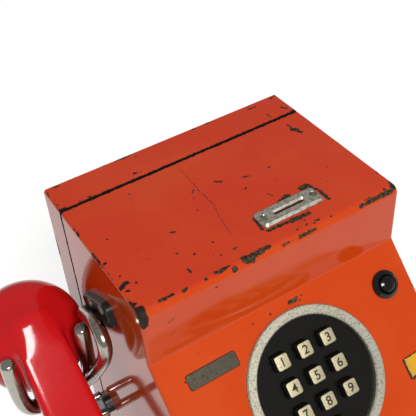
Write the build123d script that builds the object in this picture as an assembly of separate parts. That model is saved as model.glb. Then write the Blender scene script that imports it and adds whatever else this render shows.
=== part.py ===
from build123d import *
import os
from math import sin, cos, tan, radians, sqrt

# Coin-operated telephone, millimetres. +Z is up, the front faces -Y, and the origin is the middle of the base.

# ---- driving dimensions: case -------------------------------------------------------------------------
case_width = 190.0
case_height = 264.0
top_depth = 134.5  # flat top, back face to fascia
back_box_depth = 26.0
fascia_drop = 45.2  # upright strip above the sloping panel
panel_slope = 45.0  # angle between the panel and the vertical
panel_length = 118.0
sheet = 1.5
top_front_radius = 5.4
bend_radius = 2.6
nose_radius = 6.0
side_edge_radius = 2.2
seam_gap = 1.8
fit_gap = 0.3  # between fixed pieces that lie side by side
moving_gap = 0.4  # round a piece that travels in an opening
lip_length = 10.0
lip_thickness = 1.2
wall_bolt_span_x = 120.0
wall_bolt_span_z = 144.0
wall_bolt_radius = 3.25
wire_hole_radius = 10.0
base_flange = 10.0

# ---- driving dimensions: keypad -----------------------------------------------------------------------
ring_down = 57.8  # ring centre, measured down the panel from its upper bend
ring_outer_radius = 48.9
ring_inner_radius = 42.1
ring_proud = 2.4
ring_chamfer = 0.8
ring_spigot_radius = 45.4
ring_spigot_depth = 6.0
plate_recess = 1.2  # keypad plate below the panel face
plate_thickness = 3.0
keypad_cup_depth = 11.0
key_pitch = 17.8
key_side = 10.6
key_corner = 1.8
key_proud = 5.4  # above the keypad plate
key_travel = 3.0
key_foot = 3.0  # flange that keeps a key in its well
key_dish = 0.35

# ---- driving dimensions: plates and button ------------------------------------------------------------
slot_plate_length = 46.4
slot_plate_width = 15.2
slot_plate_height = 2.3
slot_plate_x = 25.5
slot_plate_from_back = 109.6
slot_length = 23.1
slot_width = 2.0
slot_screw_span = 38.2
screw_head_radius = 2.6
badge_length = 35.3
badge_width = 10.0
badge_x = -59.9
badge_down = 20.0
plate_pocket = 0.8  # depth of the stamped recess that a plate lies in
plate_proud = 0.5
yellow_length = 27.0
yellow_width = 14.8
yellow_x = 76.0
yellow_down = 82.2
button_x = 74.0
button_down = 25.0
bezel_radius = 9.6
bezel_proud = 3.2
bezel_stem_radius = 7.4
button_radius = 5.4
button_proud = 5.6
button_travel = 3.0

# ---- driving dimensions: handset ----------------------------------------------------------------------
handset_out = 42.0  # handset's middle plane, out from the left wall
head_forward = 54.6  # top of the receiver dome, from the back face
head_drop = 65.7  # top of the receiver dome, from the top
head_radius = 38.5
mouth_radius = 32.0
head_spacing = 155.0
dome_height = 33.0
mouth_dome_height = 29.0
cup_depth = 44.0  # dome top to cap joint
cap_depth = 16.0
handle_thickness = 22.0
handle_proud = 1.6  # handle's face above the dome tops
handle_width = 35.0
handle_neck_width = 31.0

# ---- driving dimensions: hook and lower rest ----------------------------------------------------------
hook_bar_radius = 5.7
hook_bend = 16.0
hook_prong_span = 51.0  # between the prongs' tips
hook_foot_span = 50.0  # between their feet
hook_bar_clearance = 2.0  # to the receiver's cup
hook_prong_height = 56.5
hook_arm_radius = 4.5
hook_elbow_forward = 118.0  # where the arm's two straight runs would meet, from the back face
hook_elbow_drop = 24.5  # and from the top
hook_elbow_bend = 12.0
hook_pivot_forward = 59.5  # from the back face
hook_pivot_drop = 60.0  # from the top
hook_shaft_radius = 3.5
hook_block_thickness = 5.0
hook_block_length = 46.0
hook_block_width = 18.0
hook_screw_proud = 0.8  # low heads, clear of the fork's arm
hook_block_forward = 72.0
hook_block_drop = 50.0
hook_block_rise = 30.0  # slope of its long axis, up to the front
lever_reach = 15.0
running_gap = 0.05
rest_gap = 0.3
rest_bar_radius = 3.5
rest_sleeve_radius = 5.5
rest_block_forward = 34.0
rest_block_drop = 197.0
rest_block_thickness = 6.5

# ---- driving dimensions: lower front ------------------------------------------------------------------
door_width = 104.0
door_height = 76.0
door_centre_x = 30.0
door_bottom = 28.0
door_gap = 0.6
door_stop = 4.0
hinge_radius = 2.6
hinge_pin_radius = 1.5
lock_radius = 8.0
cup_width = 44.0
cup_height = 48.0
cup_centre_x = -62.0
cup_bottom = 34.0
return_cup_reach = 46.0
flap_thickness = 1.2
flap_pin_radius = 1.2

# ---- places worked out from the sizes above -----------------------------------------------------------
slope_sin, slope_cos = sin(radians(panel_slope)), cos(radians(panel_slope))
case_depth = top_depth + panel_length * slope_sin
back_y = case_depth / 2
front_y = -case_depth / 2
seam_y = back_y - back_box_depth
fascia_y = back_y - top_depth
bend_z = case_height - fascia_drop
nose_z = bend_z - panel_length * slope_cos
left_x = -case_width / 2
panel = Plane(origin=(0, fascia_y, bend_z), x_dir=(1, 0, 0), z_dir=(0, -slope_cos, slope_sin))
parts = {}


def on_panel(x, down, out=0.0):
    """Place on the sloping panel: across, down from the bend, and out from its face."""
    return panel.location * Location((x, -down, out))


def block(x0, x1, y0, y1, z0, z1):
    """Box between two corners."""
    size = (x1 - x0, y1 - y0, z1 - z0)
    return Pos((x0 + x1) / 2, (y0 + y1) / 2, (z0 + z1) / 2) * Box(*size)


def rod(start, end, radius):
    """Round bar between two points."""
    start, end = Vector(*start), Vector(*end)
    plane = Plane(origin=start, z_dir=end - start)
    return extrude(plane * Circle(radius), amount=(end - start).length)


def bent_bar(points, bend, radius):
    """Round bar along straight runs joined by bends."""
    path = FilletPolyline(*points, radius=bend)
    return sweep(Plane(origin=path @ 0, z_dir=path % 0) * Circle(radius), path=path)


def rounded_plate(length, width, thickness, corner):
    """Plate with round corners, lying on its plane."""
    return extrude(RectangleRounded(length, width, corner), amount=thickness)


def turned(points):
    """Body of revolution about Z from its half section in X and Z."""
    section = make_face(Plane.XZ * Polyline(*points, close=True))
    return revolve(section, axis=Axis.Z)


# ---- case ---------------------------------------------------------------------------------------------
def side_profile(inset, rear, foot):
    """Side view of the cover, moved inwards by inset, from the plane rear down to the height foot."""
    fascia = fascia_y + inset
    front = front_y + inset
    to_bend = -inset * (1 - slope_cos) / slope_sin
    bend = bend_z - inset * slope_sin - to_bend * slope_cos
    to_nose = (fascia_y + inset * slope_cos - front) / slope_sin
    nose = bend_z - inset * slope_sin - to_nose * slope_cos
    top = case_height - inset
    face = make_face(Plane.YZ * Polyline(
        (rear, foot), (rear, top), (fascia, top), (fascia, bend), (front, nose), (front, foot), close=True))
    corners = face.vertices()
    sharp = [v for v in corners if abs(v.Y - fascia) < 0.01 and abs(v.Z - top) < 0.01]
    hollow = [v for v in corners if abs(v.Y - fascia) < 0.01 and abs(v.Z - bend) < 0.01]
    blunt = [v for v in corners if abs(v.Y - front) < 0.01 and abs(v.Z - nose) < 0.01]
    face = fillet(sharp, top_front_radius - inset)
    face = fillet([v for v in face.vertices() if (v.center() - hollow[0].center()).length < 0.01],
                  bend_radius + inset)
    face = fillet([v for v in face.vertices() if (v.center() - blunt[0].center()).length < 0.01],
                  nose_radius - inset)
    return face


def make_cover():
    outer = extrude(side_profile(0, seam_y - seam_gap, 0), amount=case_width / 2, both=True)
    rims = [e for e in outer.edges() if abs(abs(e.center().X) - case_width / 2) < 0.01
            and e.center().Y < seam_y - seam_gap - 0.01 and e.center().Z > 0.01]
    outer = fillet(rims, side_edge_radius)
    inner = extrude(side_profile(sheet, seam_y, -1), amount=case_width / 2 - sheet, both=True)
    cover = outer - inner
    cover -= on_panel(0, ring_down) * Cylinder(ring_spigot_radius + fit_gap, 4 * sheet)
    cover -= on_panel(button_x, button_down) * Cylinder(bezel_stem_radius + fit_gap, 4 * sheet)
    for x, down, length, width in ((badge_x, badge_down, badge_length, badge_width),
                                   (yellow_x, yellow_down, yellow_length, yellow_width)):
        pocket = rounded_plate(length + 2 * fit_gap, width + 2 * fit_gap, sheet, 1.6)
        cover -= on_panel(x, down, -plate_pocket) * pocket
    slot = rounded_plate(slot_length + 2, slot_width + 2, 4 * sheet, 1.5)
    cover -= Pos(slot_plate_x, back_y - slot_plate_from_back, case_height - 2 * sheet) * slot
    for side in (-1, 1):
        x = slot_plate_x + side * slot_screw_span / 2
        cover -= Pos(x, back_y - slot_plate_from_back, case_height) * Cylinder(1.3, 4 * sheet)
    cover -= door_opening(-1, 0)
    cover -= block(cup_centre_x - cup_width / 2 - fit_gap, cup_centre_x + cup_width / 2 + fit_gap,
                   front_y - 1, front_y + 2 * sheet, cup_bottom - fit_gap, cup_bottom + cup_height + fit_gap)
    cover -= Pos(left_x, pivot_y, pivot_z) * Rot(0, 90, 0) * Cylinder(hook_shaft_radius + 1.5, 4 * sheet)
    for y, z in hook_screw_places():
        cover -= Pos(left_x, y, z) * Rot(0, 90, 0) * Cylinder(2.0 + running_gap, 4 * sheet)
    stop_y = front_y + sheet
    frame = block(door_left - door_stop, door_right + door_stop, stop_y, stop_y + sheet,
                  door_bottom - door_stop, door_top + door_stop)
    frame -= block(door_left + door_stop, door_right - door_stop, stop_y - 1, stop_y + 2 * sheet,
                   door_bottom + door_stop, door_top - door_stop)
    cover += frame
    for x in (-base_screw_x, base_screw_x):
        for y, way in ((front_y + sheet, 1), (base_screw_back, 0)):
            if way:
                tab = block(x - 8, x + 8, y, y + 18, sheet + fit_gap, 2 * sheet + fit_gap)
            else:
                edge = case_width / 2 - sheet
                reach = sorted((x - 8 if x > 0 else x + 8, edge if x > 0 else -edge))
                tab = block(reach[0], reach[1], y - 8, y + 8, sheet + fit_gap, 2 * sheet + fit_gap)
            hole_y = y + 10 if way else y
            cover += tab - Pos(x, hole_y, 0) * Cylinder(1.6, 20)
    return cover


door_left = door_centre_x - door_width / 2
door_right = door_centre_x + door_width / 2
door_top = door_bottom + door_height
base_screw_x = 78.0
base_screw_back = seam_y - lip_length - 14


def door_opening(outward, inward):
    return block(door_left, door_right, front_y + outward, front_y + sheet + inward, door_bottom, door_top)


def make_back_box():
    half = case_width / 2
    box = block(-half, half, seam_y, back_y, 0, case_height)
    box = fillet(box.edges().filter_by(Axis.Y), side_edge_radius)
    hold = 8.0
    lip_half = half - sheet - fit_gap
    lip = block(-lip_half, lip_half, seam_y - lip_length, seam_y, sheet + fit_gap,
                case_height - sheet - fit_gap)
    box += lip
    inside = half - sheet - fit_gap - lip_thickness
    box -= block(-inside, inside, seam_y - lip_length - 1, seam_y + hold, sheet + fit_gap + lip_thickness,
                 case_height - sheet - fit_gap - lip_thickness)
    box -= block(-half + sheet, half - sheet, seam_y + hold, back_y - sheet, sheet, case_height - sheet)
    for x in (-wall_bolt_span_x / 2, wall_bolt_span_x / 2):
        for z in (wall_mid_z - wall_bolt_span_z / 2, wall_mid_z + wall_bolt_span_z / 2):
            box -= Pos(x, back_y, z) * Rot(90, 0, 0) * Cylinder(wall_bolt_radius, 6 * sheet)
    box -= Pos(0, back_y, wire_hole_z) * Rot(90, 0, 0) * Cylinder(wire_hole_radius, 6 * sheet)
    box -= Pos(left_x, gland_y, gland_z) * Rot(0, 90, 0) * Cylinder(gland_stem_radius + fit_gap, 6 * sheet)
    return box


wall_mid_z = 132.0
wire_hole_z = 36.0
gland_y = seam_y + 17.0
gland_z = 24.0
gland_radius = 8.0
gland_stem_radius = 5.6


def make_base_plate():
    half = case_width / 2 - sheet - fit_gap
    rear = seam_y - lip_length - fit_gap
    front = front_y + sheet + fit_gap
    plate = block(-half, half, front, rear, 0, sheet)
    for x in (-half, half - sheet):
        plate += block(x, x + sheet, front + 30, rear - 40, 0, base_flange)
    for x in (-base_screw_x, base_screw_x):
        for y in (front_y + sheet + 10, base_screw_back):
            plate -= Pos(x, y, 0) * Cylinder(1.8, 10)
            plate -= Pos(x, y, 0) * Cone(3.4, 1.8, 1.6, align=(Align.CENTER, Align.CENTER, Align.MIN))
    return plate


def make_base_screws():
    screws = []
    for x in (-base_screw_x, base_screw_x):
        for y in (front_y + sheet + 10, base_screw_back):
            low = (Align.CENTER, Align.CENTER, Align.MIN)
            screw = Cone(3.3, 1.5, 1.5, align=low) + Cylinder(1.5, 6, align=low)
            screw -= Box(5.0, 0.8, 1.2)
            screws.append(Pos(x, y, 0.1) * screw)
    return Compound(screws)


# ---- keypad -------------------------------------------------------------------------------------------
def key_places():
    """Name, place across and place down the panel of the ten keys."""
    names = [["1", "2", "3"], ["4", "5", "6"], ["7", "8", "9"], [None, "0", None]]
    first = ring_down - 1.25 * key_pitch
    return [(name, (column - 1) * key_pitch, first + row * key_pitch)
            for row, line in enumerate(names) for column, name in enumerate(line) if name]


def make_ring():
    top, low = ring_proud, -ring_spigot_depth
    c = ring_chamfer
    ring = turned([(ring_inner_radius, low), (ring_inner_radius, top - c), (ring_inner_radius + c, top),
                   (ring_outer_radius - c, top), (ring_outer_radius, top - c), (ring_outer_radius, 0),
                   (ring_spigot_radius, 0), (ring_spigot_radius, low)])
    return on_panel(0, ring_down) * ring


def make_keypad_plate():
    radius = ring_inner_radius - fit_gap
    low = (Align.CENTER, Align.CENTER, Align.MAX)
    cup = Pos(0, 0, -plate_recess) * Cylinder(radius, plate_thickness + keypad_cup_depth, align=low)
    cup += Pos(0, 0, -ring_spigot_depth - fit_gap) * Cylinder(ring_spigot_radius + 3, 2.4, align=low)
    cup -= Pos(0, 0, -plate_recess - plate_thickness) * Cylinder(radius - 1.6, keypad_cup_depth + 1, align=low)
    side = key_side + 2 * moving_gap
    for _, x, down in key_places():
        well = rounded_plate(side, side, 12, key_corner + moving_gap)
        cup -= Pos(x, ring_down - down, -plate_recess - plate_thickness - 4) * well
    return on_panel(0, ring_down) * cup


def make_key():
    """One key about its own axis: square cap with a dished top, and a foot under the plate."""
    under = -plate_recess - plate_thickness - moving_gap - 0.2
    top = key_proud - plate_recess
    cap = Pos(0, 0, under) * rounded_plate(key_side, key_side, top - under, key_corner)
    cap = fillet(cap.edges().group_by(Axis.Z)[-1], 0.7)
    dish = 60.0
    cap -= Pos(0, 0, top + dish - key_dish) * Sphere(dish)
    cap += Pos(0, 0, under - key_foot) * rounded_plate(key_side + 3, key_side + 3, key_foot, key_corner + 1)
    return cap


def make_keypad_board():
    height = -plate_recess - plate_thickness - keypad_cup_depth
    board = Pos(0, 0, height - 1.6) * Cylinder(ring_inner_radius - 2, 1.6, align=(Align.CENTER,) * 2 + (Align.MIN,))
    for _, x, down in key_places():
        board += Pos(x, ring_down - down, height) * Cylinder(3, 2.4, align=(Align.CENTER,) * 2 + (Align.MIN,))
    return on_panel(0, ring_down) * board


# ---- coin slot plate, bare plates and button ----------------------------------------------------------
def make_slot_plate():
    plate = rounded_plate(slot_plate_length, slot_plate_width, slot_plate_height, 3.0)
    plate = chamfer(plate.edges().group_by(Axis.Z)[-1], 1.3, 1.6)
    plate -= Pos(0, 0, -1) * rounded_plate(slot_length, slot_width, 10, slot_width / 2 - 0.01)
    funnel = extrude(RectangleRounded(slot_length + 2.4, slot_width + 2.4, 1.9), amount=-1.2, taper=45)
    plate -= Pos(0, 0, slot_plate_height) * funnel
    for side in (-1, 1):
        at = Pos(side * slot_screw_span / 2, 0, 0)
        plate -= at * Cylinder(1.5, 20)
        sink = Cone(1.5, screw_head_radius + 0.1, 1.4, align=(Align.CENTER, Align.CENTER, Align.MAX))
        plate -= at * Pos(0, 0, slot_plate_height) * sink
    return Pos(slot_plate_x, back_y - slot_plate_from_back, case_height) * plate


def make_slot_screws():
    screws = []
    for side in (-1, 1):
        high = (Align.CENTER, Align.CENTER, Align.MAX)
        screw = Cone(1.3, screw_head_radius, 1.3, align=high) + Cylinder(1.2, 9, align=high)
        screw -= Box(2 * screw_head_radius, 0.7, 1.0)
        x = slot_plate_x + side * slot_screw_span / 2
        y = back_y - slot_plate_from_back
        screws.append(Pos(x, y, case_height + slot_plate_height - 0.1) * Rot(0, 0, 40 + 60 * side) * screw)
    return Compound(screws)


def make_bare_plate(x, down, length, width):
    plate = rounded_plate(length, width, plate_pocket + plate_proud, 1.4)
    plate = fillet(plate.edges().group_by(Axis.Z)[-1], 0.35)
    return on_panel(x, down, -plate_pocket) * plate


def make_bezel():
    bore = button_radius + moving_gap
    bezel = turned([(bore, -9), (bore, bezel_proud - 0.6), (bore + 0.9, bezel_proud), (bezel_radius - 2.2, bezel_proud),
                    (bezel_radius, bezel_proud - 1.6), (bezel_radius, 0), (bezel_stem_radius, 0),
                    (bezel_stem_radius, -9)])
    return on_panel(button_x, button_down) * bezel


def make_bezel_nut():
    nut = extrude(RegularPolygon(10.5, 6), amount=-3.5) - Cylinder(bezel_stem_radius + 0.02, 20)
    return on_panel(button_x, button_down, -sheet) * nut


def make_button():
    dome_radius = 12.0
    rise = dome_radius - sqrt(dome_radius ** 2 - button_radius ** 2)
    stem = Pos(0, 0, -9) * Cylinder(button_radius, 9 + button_proud, align=(Align.CENTER,) * 2 + (Align.MIN,))
    ball = Pos(0, 0, button_proud - dome_radius) * Sphere(dome_radius)
    top = stem & (ball + Pos(0, 0, -40 + button_proud - rise) * Cylinder(button_radius + 1, 80 - 0.02,
                                                                       align=(Align.CENTER,) * 2 + (Align.CENTER,)))
    foot = Pos(0, 0, -9 - moving_gap) * Cylinder(button_radius + 1.6, 2, align=(Align.CENTER,) * 2 + (Align.MAX,))
    foot += Pos(0, 0, -9 - moving_gap) * Cylinder(button_radius - 1, 2, align=(Align.CENTER,) * 2 + (Align.MIN,))
    return on_panel(button_x, button_down) * (top + foot)


# ---- handset ------------------------------------------------------------------------------------------
handset_x = left_x - handset_out
handset = Plane(origin=(handset_x, back_y - head_forward, case_height - head_drop), x_dir=(1, 0, 0),
                z_dir=(0, -slope_cos, slope_sin))
handle_back = handle_proud - handle_thickness
cap_face = -cup_depth - cap_depth


def on_handset(x, along, out):
    """Point on the handset: across, along the handle from the receiver axis, out from the dome tops."""
    return handset.location * Location((x, -along, out))


def make_head(radius, height):
    """Dome, and the cup behind it, about the head's own axis."""
    dome = Spline((0, 0), (radius * 0.72, -height * 0.33), (radius, -height), tangents=((1, 0), (0, -1)))
    rim = Polyline((radius, -height), (radius - 0.8, -cup_depth), (0, -cup_depth), (0, 0))
    return revolve(make_face(Plane.XZ * (dome + rim)), axis=Axis.Z)


def make_handle():
    nose, tail = -17.0, head_spacing + 16.0
    middle = head_spacing / 2
    neck, wide = handle_neck_width / 2, handle_width / 2
    left = Spline((-neck, -nose), (-wide, -middle), (-neck - 0.6, -tail))
    right = Spline((neck + 0.6, -tail), (wide, -middle), (neck, -nose))
    outline = make_face(left + Line((-neck - 0.6, -tail), (neck + 0.6, -tail)) + right
                        + Line((neck, -nose), (-neck, -nose)))
    outline = fillet(outline.vertices(), 7.0)
    handle = extrude(Pos(0, 0, handle_back) * outline, amount=handle_thickness)
    handle = fillet(handle.edges().group_by(Axis.Z)[-1], 3.0)
    return fillet(handle.edges().group_by(Axis.Z)[0], 9.0)


def make_handset_shell():
    head = make_head(head_radius, dome_height)
    mouth = Pos(0, -head_spacing, 0) * make_head(mouth_radius, mouth_dome_height)
    shell = make_handle() + head + mouth
    for along, radius in ((0, head_radius), (head_spacing, mouth_radius)):
        shell -= Pos(0, -along, -cup_depth) * Cylinder(radius - 4, 24)
    gland = Pos(0, -head_spacing - mouth_radius, -mouth_dome_height + 2) * Rot(90, 0, 0)
    shell -= gland * Cylinder(gland_stem_radius + fit_gap, 16)
    return handset.location * shell


def make_cap(along, radius):
    """Screw-on cap with sound holes, flat side towards the cup."""
    outer = radius - 0.8
    joint, face = -cup_depth - fit_gap, cap_face
    cap = turned([(0, joint), (outer, joint), (outer - 0.3, joint - 5), (outer - 2.4, face + 1.4),
                  (outer - 4.2, face), (outer - 8.5, face), (outer - 12, face + 2.6), (0, face + 3.4)])
    cap -= Pos(0, 0, joint) * Cylinder(outer - 5, 13)
    for index in range(6):
        cap -= Rot(0, 0, 60 * index) * Pos(9, 0, face) * Cylinder(1.5, 30)
    cap -= Pos(0, 0, face) * Cylinder(1.5, 30)
    return handset.location * Pos(0, -along, 0) * cap


def make_capsule(along, radius):
    outer = radius - 6.1
    capsule = Pos(0, 0, -cup_depth - 4) * Cylinder(outer, 14, align=(Align.CENTER,) * 2 + (Align.MIN,))
    capsule += Pos(0, 0, -cup_depth + 10) * Cylinder(outer - 8, 1.6, align=(Align.CENTER,) * 2 + (Align.MIN,))
    return handset.location * Pos(0, -along, 0) * capsule


def make_handset_gland():
    gland = Pos(0, -head_spacing - mouth_radius + 4, -mouth_dome_height + 2) * Rot(90, 0, 0)
    body = Cylinder(gland_stem_radius, 10, align=(Align.CENTER,) * 2 + (Align.MIN,))
    body += Pos(0, 0, 4 + fit_gap + 1) * Cylinder(gland_radius, 3, align=(Align.CENTER,) * 2 + (Align.MIN,))
    body -= Pos(0, 0, 6) * Cylinder(2.6, 12, align=(Align.CENTER,) * 2 + (Align.MIN,))
    return handset.location * gland * body


# ---- hook ---------------------------------------------------------------------------------------------
bar = on_handset(0, head_radius + hook_bar_clearance + hook_bar_radius, handle_back - rest_gap - hook_bar_radius).position
pivot_y, pivot_z = back_y - hook_pivot_forward, case_height - hook_pivot_drop


def make_hook_fork():
    tip_z = bar.Z + hook_prong_height
    foot, tip = hook_foot_span / 2, hook_prong_span / 2
    fork = bent_bar([(handset_x + tip, bar.Y, tip_z), (handset_x + foot, bar.Y, bar.Z),
                     (handset_x - foot, bar.Y, bar.Z), (handset_x - tip, bar.Y, tip_z)], hook_bend, hook_bar_radius)
    ends = [e for e in fork.edges() if e.geom_type == GeomType.CIRCLE and abs(e.arc_center.Z - tip_z) < 0.01]
    fork = fillet(ends, 4.2)
    arm_x = left_x - hook_block_thickness - rest_gap - hook_arm_radius - 0.7
    elbow = (arm_x - 1, back_y - hook_elbow_forward, case_height - hook_elbow_drop)
    corner = (handset_x + tip - 1.5, bar.Y, bar.Z)
    arm = bent_bar([(arm_x, pivot_y, pivot_z), elbow, corner], hook_elbow_bend, hook_arm_radius)
    arm += Pos(*corner) * Sphere(hook_arm_radius + 0.3)
    arm += rod(corner, (handset_x + foot - hook_bend, bar.Y, bar.Z), hook_arm_radius + 0.3)
    boss_x = left_x - hook_block_thickness - rest_gap
    boss = rod((boss_x, pivot_y, pivot_z), (arm_x, pivot_y, pivot_z), hook_arm_radius)
    shaft = rod((boss_x - 1, pivot_y, pivot_z), (left_x + 16, pivot_y, pivot_z), hook_shaft_radius)
    return fork + arm + boss + shaft


def on_hook_block(along, across):
    """Place on the bearing block: forwards along its length and up across it."""
    middle_y, middle_z = back_y - hook_block_forward, case_height - hook_block_drop
    rise, run = sin(radians(hook_block_rise)), cos(radians(hook_block_rise))
    return (middle_y - along * run + across * rise, middle_z + along * rise + across * run)


def make_hook_block():
    """Bearing block: a long plate that slopes up to the front, bored for the fork's shaft."""
    y, z = on_hook_block(0, 0)
    place = Pos(left_x, y, z) * Rot(0, -90, 0) * Rot(0, 0, hook_block_rise)
    plate = extrude(RectangleRounded(hook_block_width, hook_block_length, 6), amount=hook_block_thickness)
    plate = place * plate
    plate = chamfer(plate.edges().group_by(Axis.X)[0], 1.2)
    plate -= Pos(left_x, pivot_y, pivot_z) * Rot(0, 90, 0) * Cylinder(hook_shaft_radius + running_gap, 40)
    for y, z in hook_screw_places():
        plate -= Pos(left_x, y, z) * Rot(0, 90, 0) * Cylinder(2.2, 40)
    return plate


def hook_screw_places():
    return [on_hook_block(-6, 4.5), on_hook_block(16, 4.5)]


def make_hook_block_screws():
    screws = []
    for y, z in hook_screw_places():
        outer = left_x - hook_block_thickness
        screw = rod((outer, y, z), (left_x + 4, y, z), 2.0)
        head = rod((outer, y, z), (outer - hook_screw_proud, y, z), 3.2)
        head = fillet(head.edges().group_by(Axis.X)[0], 0.4)
        head -= Pos(outer - hook_screw_proud, y, z) * Rot(25, 0, 0) * Box(0.9, 0.9, 8)
        screws.append(screw + head)
    return Compound(screws)


def make_hook_lever():
    """Inner lever on the shaft, which presses the hook switch."""
    x = left_x + 10
    lever = rod((x, pivot_y, pivot_z), (x + 5, pivot_y, pivot_z), 5.5) + block(
        x, x + 3, pivot_y, pivot_y + lever_reach, pivot_z - 4, pivot_z + 4)
    return lever - rod((x - 5, pivot_y, pivot_z), (x + 10, pivot_y, pivot_z), hook_shaft_radius)


# ---- lower rest ---------------------------------------------------------------------------------------
rest_y, rest_z = back_y - rest_block_forward, case_height - rest_block_drop
rest_bar = on_handset(0, head_spacing - mouth_radius + 5, cap_face - rest_gap - rest_sleeve_radius).position
rest_inner_x, rest_outer_x = handset_x + 14, handset_x - 14
rest_arm_shift = 7.0


def make_rest_block():
    place = Pos(left_x, rest_y, rest_z) * Rot(0, -90, 0) * Rot(0, 0, 45)
    plate = place * extrude(RectangleRounded(14, 34, 5), amount=rest_block_thickness)
    plate = chamfer(plate.edges().group_by(Axis.X)[0], 1.2)
    for y, z in rest_arm_places():
        plate -= rod((left_x - 40, y, z), (left_x - 2, y, z), rest_bar_radius)
    return plate


def rest_arm_places():
    shift = rest_arm_shift * slope_cos
    return [(rest_y + shift, rest_z + shift), (rest_y - shift, rest_z - shift)]


def make_lower_rest():
    (upper_y, upper_z), (lower_y, lower_z) = rest_arm_places()
    inner = left_x - 3
    return bent_bar([(inner, upper_y, upper_z), (rest_inner_x, upper_y, upper_z), (rest_inner_x, rest_bar.Y, rest_bar.Z),
                     (rest_outer_x, rest_bar.Y, rest_bar.Z), (rest_outer_x, lower_y, lower_z),
                     (inner, lower_y, lower_z)], 7, rest_bar_radius)


def make_rest_sleeve():
    reach = 6.5
    start, end = (rest_inner_x - reach - 1, rest_bar.Y, rest_bar.Z), (rest_outer_x + reach + 1, rest_bar.Y, rest_bar.Z)
    return rod(start, end, rest_sleeve_radius) - rod(start, end, rest_bar_radius)


# ---- lower front --------------------------------------------------------------------------------------
hinge_y = front_y - hinge_radius
hinge_x = door_left - 0.5
knuckle = 18.0
leaf = 1.2


def make_cash_door():
    gap = door_gap
    door = block(door_left + gap, door_right - gap, front_y, front_y + sheet - 0.3, door_bottom + gap, door_top - gap)
    middle = (door_bottom + door_top) / 2
    door += block(hinge_x, door_left + 12, front_y - leaf, front_y, middle - knuckle / 2, middle + knuckle / 2)
    door += Pos(hinge_x, hinge_y, middle) * Cylinder(hinge_radius, knuckle)
    door -= Pos(hinge_x, hinge_y, middle) * Cylinder(hinge_pin_radius + running_gap, door_height)
    door -= Pos(lock_x, front_y, lock_z) * Rot(90, 0, 0) * Cylinder(lock_radius + running_gap, 20)
    return door


lock_x = door_right - 16
lock_z = (door_bottom + door_top) / 2


def make_door_hinge():
    middle = (door_bottom + door_top) / 2
    hinge = Pos(hinge_x, hinge_y, middle) * Cylinder(hinge_pin_radius, 3 * knuckle)
    for side in (-1, 1):
        z = middle + side * (knuckle + 0.4)
        hinge += Pos(hinge_x, hinge_y, z) * Cylinder(hinge_radius, knuckle)
        hinge += block(hinge_x - 12, hinge_x, front_y - leaf, front_y, z - knuckle / 2, z + knuckle / 2)
    return hinge


def make_lock_barrel():
    face = front_y - 1.6
    barrel = rod((lock_x, face, lock_z), (lock_x, front_y + 9, lock_z), lock_radius)
    barrel = fillet(barrel.edges().group_by(Axis.Y)[0], 0.8)
    barrel -= block(lock_x - 1, lock_x + 1, face - 1, face + 4, lock_z - 4, lock_z + 4)
    cam = block(lock_x - 6, lock_x + 6, front_y + 4, front_y + 6, lock_z - 26, lock_z)
    return barrel + cam


def make_return_cup():
    half = cup_width / 2
    wall = 1.2
    low, high = cup_bottom, cup_bottom + cup_height
    rear = front_y + return_cup_reach
    scoop = Plane.YZ * Polyline((front_y, low), (front_y, high), (rear, high), (rear, low + 20), (rear - 20, low),
                                close=True)
    cup = Pos(cup_centre_x, 0, 0) * extrude(make_face(scoop), amount=half, both=True)
    hollow = Plane.YZ * Polyline((front_y - 5, low + wall), (front_y - 5, high - wall), (rear - wall, high - wall),
                                 (rear - wall, low + 20.5), (rear - 20.5, low + wall), close=True)
    cup -= Pos(cup_centre_x, 0, 0) * extrude(make_face(hollow), amount=half - wall, both=True)
    rim = block(cup_centre_x - half - 3, cup_centre_x + half + 3, front_y - 1.5, front_y, low - 3, high + 3)
    rim = fillet(rim.edges().filter_by(Axis.Y), 3)
    rim -= block(cup_centre_x - half + wall, cup_centre_x + half - wall, front_y - 5, front_y + 5, low + wall,
                 high - wall)
    cup += rim
    mouth = return_mouth
    cup -= block(mouth[0], mouth[1], rear - 16, rear - 4, high - 4, high + 4)
    pin_y, pin_z = flap_pin
    for side in (-1, 1):
        x = cup_centre_x + side * (half - wall / 2)
        cup -= Pos(x, pin_y, pin_z) * Rot(0, 90, 0) * Cylinder(flap_pin_radius + running_gap, 4)
    return cup


flap_pin = (front_y + 3.2, cup_bottom + cup_height - 4.6)
return_mouth = (cup_centre_x - 2, cup_centre_x + 16)


def make_return_flap():
    pin_y, pin_z = flap_pin
    half = cup_width / 2 - 1.2 - moving_gap
    low = cup_bottom + 1.2 + moving_gap
    x0, x1 = cup_centre_x - half, cup_centre_x + half
    flap = block(x0, x1, pin_y - flap_thickness / 2, pin_y + flap_thickness / 2, low, pin_z)
    flap += rod((x0, pin_y, pin_z), (x1, pin_y, pin_z), 2.0)
    flap += rod((x0 - 1.4, pin_y, pin_z), (x1 + 1.4, pin_y, pin_z), flap_pin_radius)
    grip = Pos(cup_centre_x, pin_y, low + 8) * Rot(90, 0, 0) * Cylinder(7, flap_thickness + 1.6)
    return flap + grip


# ---- inside -------------------------------------------------------------------------------------------
chassis_y = seam_y - lip_length - 6
shelf_z = 22.0
selector_shelf_z = door_top + 8.0
selector_x = (-6.0, 58.0)
selector_y = back_y - slot_plate_from_back
selector_top = case_height - 76.0
chassis_sheet = 1.6
board_x = -66.0
board_width = 54.0
board_height = 96.0
board_drop = 42.0


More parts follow.
